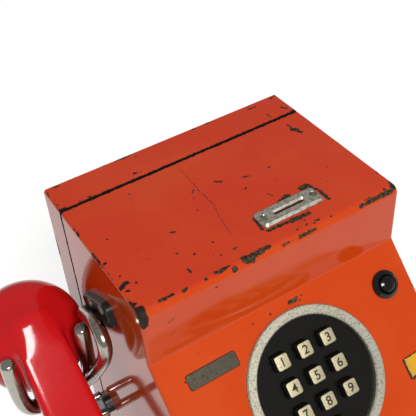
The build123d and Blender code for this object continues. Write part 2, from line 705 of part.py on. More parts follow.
def make_chassis():
    half = case_width / 2 - 14
    t = chassis_sheet
    frame = block(-half, half, chassis_y, chassis_y + t, shelf_z, case_height - 34)
    frame += block(-half, half, chassis_y, back_y - sheet, shelf_z, shelf_z + t)
    frame += block(-half, half, chassis_y, back_y - sheet, case_height - 34 - t, case_height - 34)
    for x in (-half, half - t):
        frame += block(x, x + t, chassis_y, back_y - sheet, shelf_z, case_height - 34)
    frame += block(door_left - 2, half, front_y + 12, chassis_y, shelf_z, shelf_z + t)
    for x in (door_left - 2, 56):
        frame += block(x, x + t, front_y + 12, chassis_y, sheet + fit_gap, shelf_z)
    frame += block(selector_x[0] - 6, selector_x[1] + 6, selector_y - 14, chassis_y, selector_shelf_z - t,
                   selector_shelf_z)
    frame -= block(slot_plate_x - 16, slot_plate_x + 16, selector_y - 6, selector_y + 6, selector_shelf_z - 5,
                   selector_shelf_z + 5)
    frame -= block(-70, -20, chassis_y - 1, chassis_y + t + 1, 60, 110)
    frame -= block(20, 66, chassis_y - 1, chassis_y + t + 1, 50, 100)
    frame -= Pos(0, back_y, wire_hole_z) * Rot(90, 0, 0) * Cylinder(wire_hole_radius, 2 * back_box_depth)
    return frame


def make_coin_chute():
    x, y = slot_plate_x, selector_y
    outer = block(x - 14, x + 14, y - 3.4, y + 3.4, selector_top, case_height - sheet - fit_gap)
    flange = block(x - 16, x + 16, y - 6, y + 6, selector_top, selector_top + 2)
    way = block(x - slot_length / 2 - 1, x + slot_length / 2 + 1, y - 1.9, y + 1.9, selector_top - 1, case_height)
    return outer + flange - way


def make_coin_selector():
    x0, x1 = selector_x
    y = selector_y
    body = block(x0, x1, y - 11, y + 11, selector_shelf_z, selector_top)
    body -= block(slot_plate_x - 13, slot_plate_x + 13, y - 2, y + 2, selector_shelf_z - 1, selector_top + 1)
    pitch = (selector_top - selector_shelf_z) / 4
    for step in (1, 2, 3):
        z = selector_shelf_z + step * pitch - pitch / 4
        body -= block(x0 + 6, slot_plate_x - 17, y - 12, y - 6, z, z + pitch / 2)
    body -= Pos(x0, y, selector_top) * Rot(0, 45, 0) * Box(16, 30, 16)
    for step, radius in ((2, 6), (3, 4)):
        z = selector_shelf_z + step * pitch
        body += rod((x1 - 9, y - 15, z), (x1 - 9, y - 11, z), radius)
    return body


def make_cash_box():
    x0, x1 = door_left + 6, door_right - 10
    y0, y1 = front_y + 14, chassis_y - 8
    z0, z1 = shelf_z + chassis_sheet, selector_shelf_z - chassis_sheet - 8
    t = 1.2
    box = block(x0, x1, y0, y1, z0, z1) - block(x0 + t, x1 - t, y0 + t, y1 - t, z0 + t, z1 + 1)
    mid = (x0 + x1) / 2
    grip = bent_bar([(mid - 20, y0 + 0.5, z0 + 40), (mid - 20, y0 - 6, z0 + 40), (mid + 20, y0 - 6, z0 + 40),
                     (mid + 20, y0 + 0.5, z0 + 40)], 3, 1.6)
    return box + grip


def make_return_chute():
    """Trough that leads a refused coin from the selector's side down to the return cup."""
    x_mid = (return_mouth[0] + return_mouth[1]) / 2
    y0 = front_y + return_cup_reach - 15
    top_y = selector_y - 8
    low, high = cup_bottom + cup_height + fit_gap, selector_shelf_z + 38
    side = make_face(Plane.YZ * Polyline((y0, low), (y0 + 10, low), (top_y, high - 24), (top_y, high),
                                         (top_y - 8, high), (y0, low + 14), close=True))
    chute = Pos(x_mid, 0, 0) * extrude(side, amount=9, both=True)
    inner = make_face(Plane.YZ * Polyline((y0 + 1.2, low - 1), (y0 + 8.6, low - 1), (top_y - 1.6, high - 24),
                                          (top_y - 1.6, high + 1), (top_y - 7, high + 1), (y0 + 1.2, low + 14),
                                          close=True))
    chute -= Pos(x_mid, 0, 0) * extrude(inner, amount=7.8, both=True)
    arm = block(x_mid + 7.8, selector_x[0], top_y - 2, top_y, high - 12, high - 2)
    return chute + arm


def make_circuit_board():
    x, y = board_x, chassis_y - 8
    low, high = case_height - board_drop - board_height, case_height - board_drop
    board = block(x, x + board_width, y, y + 1.6, low, high)
    for post_x in (x + 4, x + board_width - 4):
        for z in (low + 4, high - 4):
            board += rod((post_x, y + 1, z), (post_x, chassis_y, z), 2.5)
    for left, right, deep, tall in ((6, 22, 8, 18), (30, 43, 5, 24)):
        board += block(x + left, x + right, y - deep, y, high - 8 - tall, high - 8)
    for can_x in (x + 14, x + 34):
        board += rod((can_x, y, high - 52), (can_x, y - 12, high - 52), 6)
    return board + block(x + 6, x + board_width - 6, y - 3.5, y, low + 12, low + 24)


def make_hook_switch():
    """Switch held on the chassis, with its plunger over the lever's rear end."""
    low = pivot_z + 4 + rest_gap
    switch = block(left_x + 9, left_x + 24, chassis_y - 12, chassis_y, low + 4, low + 18)
    return switch + block(left_x + 10, left_x + 13, chassis_y - 3.5, chassis_y - 0.5, low, low + 4)


gong_x, gong_z, gong_radius = 46.0, case_height - 59, 22.0


def make_bell():
    """Two gongs on posts from the chassis."""
    gongs = []
    for side in (-1, 1):
        x = gong_x + side * (gong_radius / 2 + 1.5) * 0.98
        z = gong_z
        radius = gong_radius / 2
        shell = turned([(0, 0), (radius * 0.7, 0), (radius, -3), (radius, -7), (radius - 1, -7), (radius - 1, -3.4),
                        (radius * 0.7 - 0.5, -1), (0, -1)])
        post = Pos(0, 0, -12) * Cylinder(2, 13, align=(Align.CENTER,) * 2 + (Align.MIN,))
        gongs.append(Pos(x, chassis_y - 12, z) * Rot(90, 0, 0) * (shell + post))
    return Compound(gongs)


def make_case_gland():
    gland = rod((left_x + 5, gland_y, gland_z), (left_x - 2, gland_y, gland_z), gland_stem_radius)
    gland += rod((left_x, gland_y, gland_z), (left_x - 4, gland_y, gland_z), gland_radius)
    gland += rod((left_x + sheet, gland_y, gland_z), (left_x + 4, gland_y, gland_z), gland_radius - 0.5)
    return gland - rod((left_x - 6, gland_y, gland_z), (left_x - 1, gland_y, gland_z), 2.8)


# ---- all nodes ----------------------------------------------------------------------------------------
parts["back_box"] = make_back_box()
parts["front_cover"] = make_cover()
parts["base_plate"] = make_base_plate()
parts["base_screws"] = make_base_screws()
parts["keypad_ring"] = make_ring()
parts["keypad_plate"] = make_keypad_plate()
parts["keypad_board"] = make_keypad_board()
for name, x, down in key_places():
    parts["key_" + name] = on_panel(x, down) * make_key()
parts["coin_slot_plate"] = make_slot_plate()
parts["coin_plate_screws"] = make_slot_screws()
parts["badge_plate"] = make_bare_plate(badge_x, badge_down, badge_length, badge_width)
parts["instruction_plate"] = make_bare_plate(yellow_x, yellow_down, yellow_length, yellow_width)
parts["button_bezel"] = make_bezel()
parts["bezel_nut"] = make_bezel_nut()
parts["push_button"] = make_button()
parts["handset_shell"] = make_handset_shell()
parts["ear_cap"] = make_cap(0, head_radius)
parts["mouth_cap"] = make_cap(head_spacing, mouth_radius)
parts["receiver_capsule"] = make_capsule(0, head_radius)
parts["microphone_capsule"] = make_capsule(head_spacing, mouth_radius)
parts["handset_gland"] = make_handset_gland()
parts["hook_fork"] = make_hook_fork()
parts["hook_block"] = make_hook_block()
parts["hook_block_screws"] = make_hook_block_screws()
parts["hook_lever"] = make_hook_lever()
parts["hook_switch"] = make_hook_switch()
parts["lower_rest_block"] = make_rest_block()
parts["lower_rest"] = make_lower_rest()
parts["rest_sleeve"] = make_rest_sleeve()
parts["cash_door"] = make_cash_door()
parts["door_hinge"] = make_door_hinge()
parts["lock_barrel"] = make_lock_barrel()
parts["return_cup"] = make_return_cup()
parts["return_flap"] = make_return_flap()
parts["return_chute"] = make_return_chute()
parts["chassis"] = make_chassis()
parts["coin_chute"] = make_coin_chute()
parts["coin_selector"] = make_coin_selector()
parts["cash_box"] = make_cash_box()
parts["circuit_board"] = make_circuit_board()
parts["bell_gongs"] = make_bell()
parts["case_gland"] = make_case_gland()

os.makedirs("parts", exist_ok=True)
for node, shape in parts.items():
    export_step(shape, f"parts/{node}.step")
    print(node, round(shape.volume))
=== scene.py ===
import math

import bmesh
import bpy
from mathutils import Matrix, Vector


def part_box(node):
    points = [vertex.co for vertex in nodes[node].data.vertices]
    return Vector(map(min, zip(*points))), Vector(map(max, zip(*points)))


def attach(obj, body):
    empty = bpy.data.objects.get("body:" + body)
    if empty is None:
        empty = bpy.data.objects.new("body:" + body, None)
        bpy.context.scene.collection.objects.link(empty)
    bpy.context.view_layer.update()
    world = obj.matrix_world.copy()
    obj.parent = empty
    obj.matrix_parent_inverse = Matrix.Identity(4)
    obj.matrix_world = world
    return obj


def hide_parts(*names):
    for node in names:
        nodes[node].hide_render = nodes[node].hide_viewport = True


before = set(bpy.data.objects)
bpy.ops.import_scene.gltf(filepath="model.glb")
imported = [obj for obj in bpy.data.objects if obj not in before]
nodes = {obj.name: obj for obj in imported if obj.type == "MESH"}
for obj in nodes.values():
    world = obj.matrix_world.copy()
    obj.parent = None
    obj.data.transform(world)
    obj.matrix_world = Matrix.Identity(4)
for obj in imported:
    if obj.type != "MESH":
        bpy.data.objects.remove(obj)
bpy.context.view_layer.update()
print("frame loaded:", len(nodes), "pieces")

slope = math.radians(45)
outward = Vector((0, -math.cos(slope), math.sin(slope)))  # square to the sloping panel
upSlope = Vector((0, math.sin(slope), math.cos(slope)))
acrossPanel = Vector((1, 0, 0))


def linear(code):
    # An sRGB hex colour as linear numbers, by the standard curve.
    channels = [int(code[i:i + 2], 16) / 255 for i in (1, 3, 5)]
    straight = [c / 12.92 if c <= 0.04045 else ((c + 0.055) / 1.055) ** 2.4 for c in channels]
    return (*straight, 1.0)


def setInputs(tree, node, values):
    # A node or a socket is linked, anything else is the input's own value.
    for name, value in values.items():
        if isinstance(value, bpy.types.Node):
            value = value.outputs[0]
        if isinstance(value, bpy.types.NodeSocket):
            tree.links.new(value, node.inputs[name])
        else:
            node.inputs[name].default_value = value


def addNode(tree, kind, values=None, **settings):
    node = tree.nodes.new(kind)
    for name, value in settings.items():
        setattr(node, name, value)
    setInputs(tree, node, values or {})
    return node


def startMaterial(name):
    material = bpy.data.materials.new(name)
    material.use_nodes = True
    tree = material.node_tree
    shader = tree.nodes["Principled BSDF"]
    spot = addNode(tree, "ShaderNodeTexCoord").outputs["Object"]
    spot = addNode(tree, "ShaderNodeVectorMath", {0: spot, "Scale": 1000}, operation="SCALE")
    return material, tree, shader, spot  # spot is the place in millimetres


def finishMaterial(tree, shader, colour, roughness, height, depthMm, metallic=0.0):
    bump = addNode(tree, "ShaderNodeBump", {"Height": height, "Distance": depthMm / 1000, "Strength": 1.0})
    setInputs(tree, shader, {"Base Color": colour, "Roughness": roughness, "Metallic": metallic,
                             "Normal": bump})


def paint(material, *names):
    for name in names:
        mesh = nodes[name].data
        mesh.materials.clear()
        mesh.materials.append(material)


# Red enamel, sprayed and baked over black primer on pressed steel: a hard gloss with a faint slow ripple.
# Faces that look up are painted a deeper, cooler red, as painted shade for the top's dimmer light, and their
# gloss is duller. Where the skin has chipped, the dull primer and brown rust show.
# A pair of numbers is where a blend starts and where it ends.
enamel = {
    # top: painted shade, the deeper red that faces looking up are mixed to
    "front": "#CD440F", "top": "#CE3B1A", "worn": "#D65A28", "primer": "#221710", "rust": "#57442A",
    # lip: near-black seam colour, painted shade in the gap and some bare wear
    "lip": "#1A120D", "gloss": 0.07, "dulled": 0.13, "chipRoughness": 0.62, "specular": 0.26,
    "rippleMm": 26, "rippleDepthMm": 0.05, "raggedPerMm": 0.5, "raggedMm": 3.4,
    "chipEdge": (0.95, 1.25), "sparsePerMm": 0.045, "sparse": (0.36, 0.6), "sparseLift": 1.8,
    "speckCellMm": 12.0, "speckPower": 6.0, "speckLargest": 0.075, "lipY": 82.2, "lipHalfMm": 0.75,
    "lipEdgeMm": (0.6, 1.0), "topFacing": (0.75, 0.95), "fadePerMm": 0.02, "fade": (0.45, 0.8),
    "fadeMost": 0.4, "rusty": (0.45, 0.62), "cornerX": -84.0, "cornerMm": 3,
}
chips = [  # each chip: the two ends of a short stroke, then its half width, in millimetres
    (-87.3, 107.1, 264, -85.2, 106.9, 264, 0.66), (-94, 105.1, 264, -94.7, 101.8, 264, 0.82),
    (-93.1, 95.2, 264, -93.1, 95.2, 264, 0.57), (-93.1, 89.6, 264, -93.1, 89.6, 264, 0.57),
    (-93.7, 83.3, 264, -91, 83.8, 264, 1.48), (-37.3, 88.8, 264, -35.4, 88.5, 264, 0.9),
    (-32.7, 87.6, 264, -32.7, 87.6, 264, 0.49), (-27.7, 105.2, 264, -26.8, 104.5, 264, 0.57),
    (-50.7, 108.7, 264, -49.2, 108.5, 264, 0.66), (20.5, 108.1, 264, 22.8, 107.8, 264, 0.66),
    (32, 108.3, 264, 34.5, 108.1, 264, 0.66), (2.2, 49, 264, 5.9, 46.3, 264, 0.9),
    (-16.1, 48.3, 264, -14, 50, 264, 0.66), (-11.4, 48.1, 264, -11.4, 48.1, 264, 0.61),
    (-18.1, 43, 264, -18.1, 43, 264, 0.53), (-22.6, 31, 264, -21.6, 31.5, 264, 0.57),
    (-50, 71.6, 264, -50, 71.6, 264, 0.53), (-51.5, 66.7, 264, -51.5, 66.7, 264, 0.49),
    (-53.5, 63.1, 264, -53.5, 63.1, 264, 0.45), (-46.5, 23.7, 264, -43.8, 22.5, 264, 0.74),
    (-73.6, 84.9, 264, -71.6, 84.6, 264, 0.66), (-79.4, 85, 264, -77.3, 84.7, 264, 0.49),
    (-94.6, 63.1, 264, -94.9, 61.6, 264, 1.07), (-59, 87.8, 264, -59, 87.8, 264, 0.49),
    (88, 106.7, 264, 89.6, 106.3, 264, 0.82), (91.8, 108, 264, 93.9, 107.1, 264, 0.66),
    (66.6, 104.4, 264, 73.6, 104.2, 264, 0.66), (87.9, 92.1, 264, 90.1, 89.5, 264, 1.07),
    (94.6, 87.6, 264, 94.7, 82.3, 264, 1.15), (90.3, 83.7, 264, 93.2, 83.9, 264, 0.98),
    (74.2, 91.6, 264, 74.6, 86.5, 264, 0.61), (74.8, 103, 264, 74.8, 103, 264, 0.45),
    (64.6, 88.9, 264, 64.6, 88.9, 264, 0.45), (78, 65.4, 264, 80, 62.8, 264, 1.89),
    (79.3, 61.9, 264, 80.8, 59.2, 264, 1.23), (78.3, 71.7, 264, 78.4, 67.8, 264, 0.82),
    (94.4, 25.5, 264, 94.5, 24.6, 264, 0.49), (38, 52.7, 264, 38, 52.7, 264, 0.53),
    (38.8, 39.8, 264, 40.4, 40.5, 264, 0.53), (20, 41.9, 264, 23.8, 40.5, 264, 0.74),
    (13.6, 30.8, 264, 15, 31.8, 264, 0.57), (9, 18.3, 264, 9, 18.3, 264, 0.57),
    (23.2, 18.1, 264, 24.5, 15.4, 264, 0.53), (43.9, 10.3, 264, 48.1, 10, 264, 2.05),
    (49.2, 8.3, 264, 51, 3.2, 264, 1.23), (51.6, 0.9, 264, 51.4, -8, 264, 1.23),
    (29.2, 9.3, 264, 32.2, 9.1, 264, 1.8), (24.4, 8.1, 264, 27.6, 8.2, 264, 1.23),
    (19.5, -11.1, 264, 26.2, -11.4, 264, 1.8), (26.5, -11, 264, 33, -11.7, 264, 1.39),
    (3, -9.8, 264, 17.5, -10.7, 264, 1.23), (2.1, 3.8, 264, 0.8, -6.5, 264, 0.98),
    (44.2, 16.4, 264, 44.2, 16.4, 264, 0.53), (61, 5, 264, 61, 5, 264, 0.57),
    (94.8, -1.5, 264, 94.8, -5.4, 264, 0.9), (93.3, -5.7, 264, 94.1, -6.8, 264, 0.82),
    (95.1, -10.9, 264, 95.3, -17.4, 264, 1.23), (93.9, -18.9, 264, 91.6, -27.1, 264, 1.84),
    (92.2, -22.6, 264, 90.1, -29.6, 264, 2.05), (80.4, -24.9, 263, 89.1, -24.9, 263, 2.05),
    (70.8, -24.9, 263, 80.7, -24.9, 263, 1.8), (63.9, -24.9, 263, 70.5, -24.9, 263, 1.48),
    (66.3, -25.4, 264, 68.9, -22.6, 264, 0.66), (70, -22.2, 264, 74.7, -22.6, 264, 0.57),
    (85.6, -21.5, 264, 86.8, -22.6, 264, 0.82), (84, -12.9, 264, 84, -12.9, 264, 0.49),
    (49.7, -28, 264, 50.8, -27.8, 264, 1.23), (42, -21.7, 264, 42.9, -21.9, 264, 0.66),
    (31.8, -19.6, 264, 34.1, -20.1, 264, 0.82), (29.9, -20.9, 264, 29.9, -20.9, 264, 0.82),
    (25.2, -19.2, 264, 25.2, -19.2, 264, 0.9), (26.6, -15.1, 264, 26.6, -15.1, 264, 0.57),
    (18.1, -19.7, 264, 18.1, -19.7, 264, 0.66), (28.7, -24.9, 263, 39.1, -24.9, 263, 0.41),
    (-81.9, 41.5, 264, -81.9, 41.5, 264, 0.57), (-92.9, 23.2, 264, -91.7, 23.4, 264, 0.9),
    (-70.9, 22.6, 264, -70.9, 22.6, 264, 0.53), (-68.9, 11.4, 264, -68.9, 11.4, 264, 0.53),
    (-57.6, 13.6, 264, -57.6, 13.6, 264, 0.49), (-53.1, 5.8, 264, -52.7, 5.2, 264, 0.7),
    (-44.6, -0.8, 264, -44.6, -0.8, 264, 0.9), (-30.1, 1.5, 264, -30.1, 1.5, 264, 0.82),
    (-22.7, -11, 264, -21.6, -10.7, 264, 0.82), (-32.2, -11.2, 264, -32.2, -11.2, 264, 0.7),
    (-35.4, -7.9, 264, -35.4, -7.9, 264, 0.49), (-24.1, -19.9, 264, -24.1, -19.9, 264, 0.78),
    (-54, -9.8, 264, -54.3, -12.2, 264, 0.9), (-93.4, -0.1, 264, -91.8, 1, 264, 1.48),
    (-90.8, 1.6, 264, -88.5, 2.2, 264, 1.39), (-91.8, -4, 264, -90.9, -4.2, 264, 0.9),
    (-89.4, 8.8, 264, -89.4, 8.8, 264, 0.66), (-94.6, -14.8, 264, -93, -15.2, 264, 1.31),
    (-79.8, -21.2, 264, -76.7, -21.4, 264, 1.23), (-76.5, -21.2, 264, -71.6, -21.3, 264, 0.9),
    (-64.9, -22.3, 264, -63, -21.8, 264, 1.23), (-49.7, -21.8, 264, -49.7, -21.8, 264, 1.15),
    (-55.9, -23.9, 264, -48.8, -24.9, 263, 0.53), (-42.5, -21, 264, -39.9, -21.9, 264, 1.15),
    (-38.9, -21.4, 264, -35.2, -21.1, 264, 1.07), (-33.4, -21, 264, -33.4, -21, 264, 0.74),
    (-30.4, -24.5, 264, -31.4, -24.9, 263, 1.89), (-29.7, -24.9, 263, -29.7, -24.9, 263, 1.48),
    (-21.4, -22, 264, -18.7, -24, 264, 2.87), (-17.4, -22, 264, -9.9, -21.6, 264, 1.89),
    (-9.8, -21.5, 264, -4.6, -21.4, 264, 1.23), (-14.8, -24.9, 263, -9.4, -24.9, 263, 0.74),
    (4, -24.9, 263, 7.6, -24.9, 263, 1.39), (6.1, -24.9, 263, 6.1, -24.9, 263, 0.9),
    (9.1, -24.9, 263, 13.9, -24.9, 263, 0.74), (16.8, -24.9, 263, 20.3, -24.9, 263, 1.72),
    (21.1, -24.9, 263, 27.8, -24.9, 263, 1.48), (-45.2, -25.5, 257, -45.2, -25.5, 257, 0.74),
    (-78.8, -25.5, 247.8, -74, -25.5, 249.3, 0.37), (-77.4, -25.5, 237.4, -75.3, -25.5, 238.3, 0.37),
    (19.1, -25.5, 253.9, 19.1, -25.5, 253.9, 0.37), (-66.8, -25.5, 220.4, -66.8, -25.5, 220.4, 0.44),
    (-95.5, -25.5, 233.3, -95.5, -25.5, 229.2, 0.74), (5.4, -29.5, 214.8, 10.2, -29.5, 214.8, 1.48),
    (14.7, -29, 215.4, 14.7, -29, 215.4, 0.59), (12.5, -30.8, 213.6, 12.5, -30.8, 213.6, 0.48),
    (-10.4, -30, 214.3, -10.4, -30, 214.3, 0.81), (-23.5, -30.2, 214.2, -23.5, -30.2, 214.2, 0.7),
    (-31.3, -30, 214.3, -31.3, -30, 214.3, 0.41), (-63.4, -30.2, 214.1, -63.4, -30.2, 214.1, 0.52),
    (-78.7, -38.1, 206.2, -78.7, -38.1, 206.2, 0.59), (95.2, -35.4, 209, 94.7, -37.5, 206.8, 0.67),
    (93.9, -49.7, 194.6, 95, -52.2, 192.1, 0.67), (-93.5, -23.5, 261.5, -94.2, -26.5, 255.5, 3.2),
    (-92.5, -21, 263.5, -94.5, -24, 260, 3),
]
scratch = [(-9.6, 75.7), (-11.1, 48.6), (-11.2, 30), (-13.9, 19.9), (-17.4, 0.1)]  # along the top
chips += [(*a, 264, *b, 264, 0.28) for a, b in zip(scratch, scratch[1:])]
edges = [  # straight edges that wear: a point on each, how far the wear reaches, 0 along the edge itself
    ((95, 0, 264), (1.6, 0, 1.6)), ((-95, 0, 264), (1.6, 0, 1.6)), ((0, 109, 264), (0, 1.6, 1.6)),
    ((0, -109, 135.4), (0, 1.8, 1.8)), ((0, -109, 0), (0, 3, 3)), ((95, -109, 0), (3, 3, 0)),
    ((-95, -109, 0), (3, 3, 0)), ((95, 109, 0), (2.4, 2.4, 0)), ((-95, 109, 0), (2.4, 2.4, 0)),
    ((0, 109, 0), (0, 3, 3)),
]
tinyShare = 1e-9  # links one stroke to the next and is too small to move it
shortestRun = 0.05  # a stroke shorter than this share of its half width is a round spot


def chipDistance(tree, spot):
    # Distance to the nearest stroke, in half widths of that stroke. Each stroke's start takes in the distance
    # before it by a share too small to count, so that the renderer works on one stroke at a time.
    field = None
    for ax, ay, az, bx, by, bz, half in chips:
        start, run = -Vector((ax, ay, az)) / half, Vector((bx - ax, by - ay, bz - az)) / half
        if field is not None:
            start = addNode(tree, "ShaderNodeVectorMath", {0: field, 1: (tinyShare,) * 3, 2: start},
                            operation="MULTIPLY_ADD")
        place = addNode(tree, "ShaderNodeVectorMath", {0: spot, 1: (1 / half,) * 3, 2: start},
                        operation="MULTIPLY_ADD")
        if run.length > shortestRun:
            part = addNode(tree, "ShaderNodeVectorMath", {0: place, 1: run / run.length_squared},
                           operation="DOT_PRODUCT").outputs["Value"]
            part = addNode(tree, "ShaderNodeMath", {0: part, 1: 1.0}, operation="MULTIPLY", use_clamp=True)
            place = addNode(tree, "ShaderNodeVectorMath", {0: part, 1: -run, 2: place},
                            operation="MULTIPLY_ADD")
        reach = addNode(tree, "ShaderNodeVectorMath", {0: place}, operation="LENGTH").outputs["Value"]
        if field is None:
            field = reach
        else:
            field = addNode(tree, "ShaderNodeMath", {0: field, 1: reach}, operation="MINIMUM")
    return field


def edgeDistance(tree, spot, warped):
    # Distance to the nearest straight edge, in shares of how far its wear reaches. The edges wear only here
    # and there: a slow noise lifts the distance away from most of their length.
    e = enamel
    field = None
    for point, reaches in edges:
        scale = [1 / r if r else 0 for r in reaches]
        start = [-p * s for p, s in zip(point, scale)]
        place = addNode(tree, "ShaderNodeVectorMath", {0: warped, 1: scale, 2: start},
                        operation="MULTIPLY_ADD")
        reach = addNode(tree, "ShaderNodeVectorMath", {0: place}, operation="LENGTH").outputs["Value"]
        if field is None:
            field = reach
        else:
            field = addNode(tree, "ShaderNodeMath", {0: field, 1: reach}, operation="MINIMUM")
    along = addNode(tree, "ShaderNodeTexNoise", {"Vector": spot, "Scale": e["sparsePerMm"], "Detail": 3.0})
    low, high = e["sparse"]
    lift = addNode(tree, "ShaderNodeMapRange", {
        "Value": along, "From Min": low, "From Max": high, "To Min": 0.0, "To Max": e["sparseLift"]})
    return addNode(tree, "ShaderNodeMath", {0: field, 1: lift}, operation="ADD")


def makeSpecks(tree, warped):
    # Pin-head specks, one in each cell, most of them too small to see.
    e = enamel
    cells = addNode(tree, "ShaderNodeTexVoronoi", {
        "Vector": warped, "Scale": 1 / e["speckCellMm"], "Randomness": 1.0})
    size = addNode(tree, "ShaderNodeSeparateColor", {0: cells.outputs["Color"]})
    size = addNode(tree, "ShaderNodeMath", {0: size, 1: e["speckPower"]}, operation="POWER")
    size = addNode(tree, "ShaderNodeMath", {0: size, 1: e["speckLargest"]}, operation="MULTIPLY")
    return addNode(tree, "ShaderNodeMath", {0: cells.outputs["Distance"], 1: size}, operation="LESS_THAN")


def makeSeamLips(tree, warped):
    # The two lips beside the open seam are painted near-black with a ragged border: painted shade inside the
    # gap, partly bare worn edge.
    e = enamel
    low, high = e["lipEdgeMm"]
    lip = addNode(tree, "ShaderNodeSeparateXYZ", {0: warped}).outputs["Y"]
    lip = addNode(tree, "ShaderNodeMath", {0: lip, 1: e["lipY"]}, operation="SUBTRACT")
    lip = addNode(tree, "ShaderNodeMath", {0: lip}, operation="ABSOLUTE")
    return addNode(tree, "ShaderNodeMapRange", {
        "Value": lip, "From Min": e["lipHalfMm"] + low, "From Max": e["lipHalfMm"] + high,
        "To Min": 1.0, "To Max": 0.0})


def makeEnamel():
    material, tree, shader, spot = startMaterial("bakedEnamelOverPrimer")
    e = enamel
    ragged = addNode(tree, "ShaderNodeTexNoise", {
        "Vector": spot, "Scale": e["raggedPerMm"], "Detail": 4.0, "Roughness": 0.62})
    shift = addNode(tree, "ShaderNodeVectorMath", {0: ragged.outputs["Color"], 1: (0.5, 0.5, 0.5)},
                    operation="SUBTRACT")
    warped = addNode(tree, "ShaderNodeVectorMath", {0: shift, 1: (e["raggedMm"],) * 3, 2: spot},
                     operation="MULTIPLY_ADD")
    chipField = chipDistance(tree, warped)
    edgeField = edgeDistance(tree, spot, warped)
    chip = addNode(tree, "ShaderNodeMath", {0: chipField, 1: edgeField}, operation="MINIMUM")
    low, high = e["chipEdge"]
    chip = addNode(tree, "ShaderNodeMapRange", {
        "Value": chip, "From Min": low, "From Max": high, "To Min": 1.0, "To Max": 0.0})
    speck = makeSpecks(tree, warped)
    lip = makeSeamLips(tree, warped)
    bare = addNode(tree, "ShaderNodeMath", {0: chip, 1: speck}, operation="MAXIMUM")
    # the skin: painted a deeper red on faces that look up, as painted shade for the top's dimmer light, and
    # paler in slow clouds
    facing = addNode(tree, "ShaderNodeTexCoord").outputs["Normal"]
    facing = addNode(tree, "ShaderNodeSeparateXYZ", {0: facing}).outputs["Z"]
    low, high = e["topFacing"]
    upwardShadeAndDull = addNode(tree, "ShaderNodeMapRange", {"Value": facing, "From Min": low, "From Max": high})
    colour = addNode(tree, "ShaderNodeMix", {"Factor": upwardShadeAndDull, 6: linear(e["front"]), 7: linear(e["top"])},
                     data_type="RGBA").outputs[2]
    broad = addNode(tree, "ShaderNodeTexNoise", {"Vector": spot, "Scale": e["fadePerMm"], "Detail": 4.0})
    low, high = e["fade"]
    fade = addNode(tree, "ShaderNodeMapRange", {
        "Value": broad, "From Min": low, "From Max": high, "To Max": e["fadeMost"]})
    colour = addNode(tree, "ShaderNodeMix", {"Factor": fade, 6: colour, 7: linear(e["worn"])},
                     data_type="RGBA").outputs[2]
    # rust shows in the flat chips; the left front corner is worn to the black primer only
    low, high = e["rusty"]
    rusty = addNode(tree, "ShaderNodeMapRange", {"Value": ragged, "From Min": low, "From Max": high})
    sides = addNode(tree, "ShaderNodeSeparateXYZ", {0: spot}).outputs["X"]
    corner = addNode(tree, "ShaderNodeMapRange", {
        "Value": sides, "From Min": e["cornerX"], "From Max": e["cornerX"] + e["cornerMm"]})
    rusty = addNode(tree, "ShaderNodeMath", {0: rusty, 1: corner}, operation="MULTIPLY")
    below = addNode(tree, "ShaderNodeMix", {"Factor": rusty, 6: linear(e["primer"]), 7: linear(e["rust"])},
                    data_type="RGBA").outputs[2]
    colour = addNode(tree, "ShaderNodeMix", {"Factor": bare, 6: colour, 7: below},
                     data_type="RGBA").outputs[2]
    # the seam lips: near-black, painted shade in the gap and some bare wear
    colour = addNode(tree, "ShaderNodeMix", {"Factor": lip, 6: colour, 7: linear(e["lip"])},
                     data_type="RGBA").outputs[2]
    dull = addNode(tree, "ShaderNodeMath", {0: bare, 1: lip}, operation="MAXIMUM")
    gloss = addNode(tree, "ShaderNodeMapRange", {
        "Value": upwardShadeAndDull, "To Min": e["gloss"], "To Max": e["dulled"]})
    rough = addNode(tree, "ShaderNodeMapRange", {
        "Value": dull, "To Min": gloss, "To Max": e["chipRoughness"]})
    ripple = addNode(tree, "ShaderNodeTexNoise", {"Vector": spot, "Scale": 1 / e["rippleMm"], "Detail": 1.0})
    finishMaterial(tree, shader, colour, rough, ripple, e["rippleDepthMm"])
    shader.inputs["Specular IOR Level"].default_value = e["specular"]
    return material


moulding = {"cloudPerMm": 0.03, "grainMm": 1.2, "rubbed": (0.4, 0.75), "peelMm": 6.0, "peelDepthMm": 0.02,
            "specular": 0.32}


def makeMoulding(name, base, deep, gloss, scuff=0.12):
    # Moulded, painted and rubber skins: one deep colour, an even gloss, and a film of fine dust and rubbing.
    material, tree, shader, spot = startMaterial(name)
    m = moulding
    broad = addNode(tree, "ShaderNodeTexNoise", {"Vector": spot, "Scale": m["cloudPerMm"], "Detail": 3.0})
    colour = addNode(tree, "ShaderNodeMix", {"Factor": broad, 6: linear(base), 7: linear(deep)},
                     data_type="RGBA").outputs[2]
    fine = addNode(tree, "ShaderNodeTexNoise", {
        "Vector": spot, "Scale": 1 / m["grainMm"], "Detail": 6.0, "Roughness": 0.7})
    low, high = m["rubbed"]
    rub = addNode(tree, "ShaderNodeMapRange", {
        "Value": fine, "From Min": low, "From Max": high, "To Min": gloss, "To Max": gloss + scuff})
    peel = addNode(tree, "ShaderNodeTexNoise", {"Vector": spot, "Scale": 1 / m["peelMm"], "Detail": 1.0})
    finishMaterial(tree, shader, colour, rub, peel, m["peelDepthMm"])
    shader.inputs["Specular IOR Level"].default_value = m["specular"]
    return material


metal = {"patchGrains": 8, "tarnishBlend": 0.2, "grain": (0.3, 0.7)}


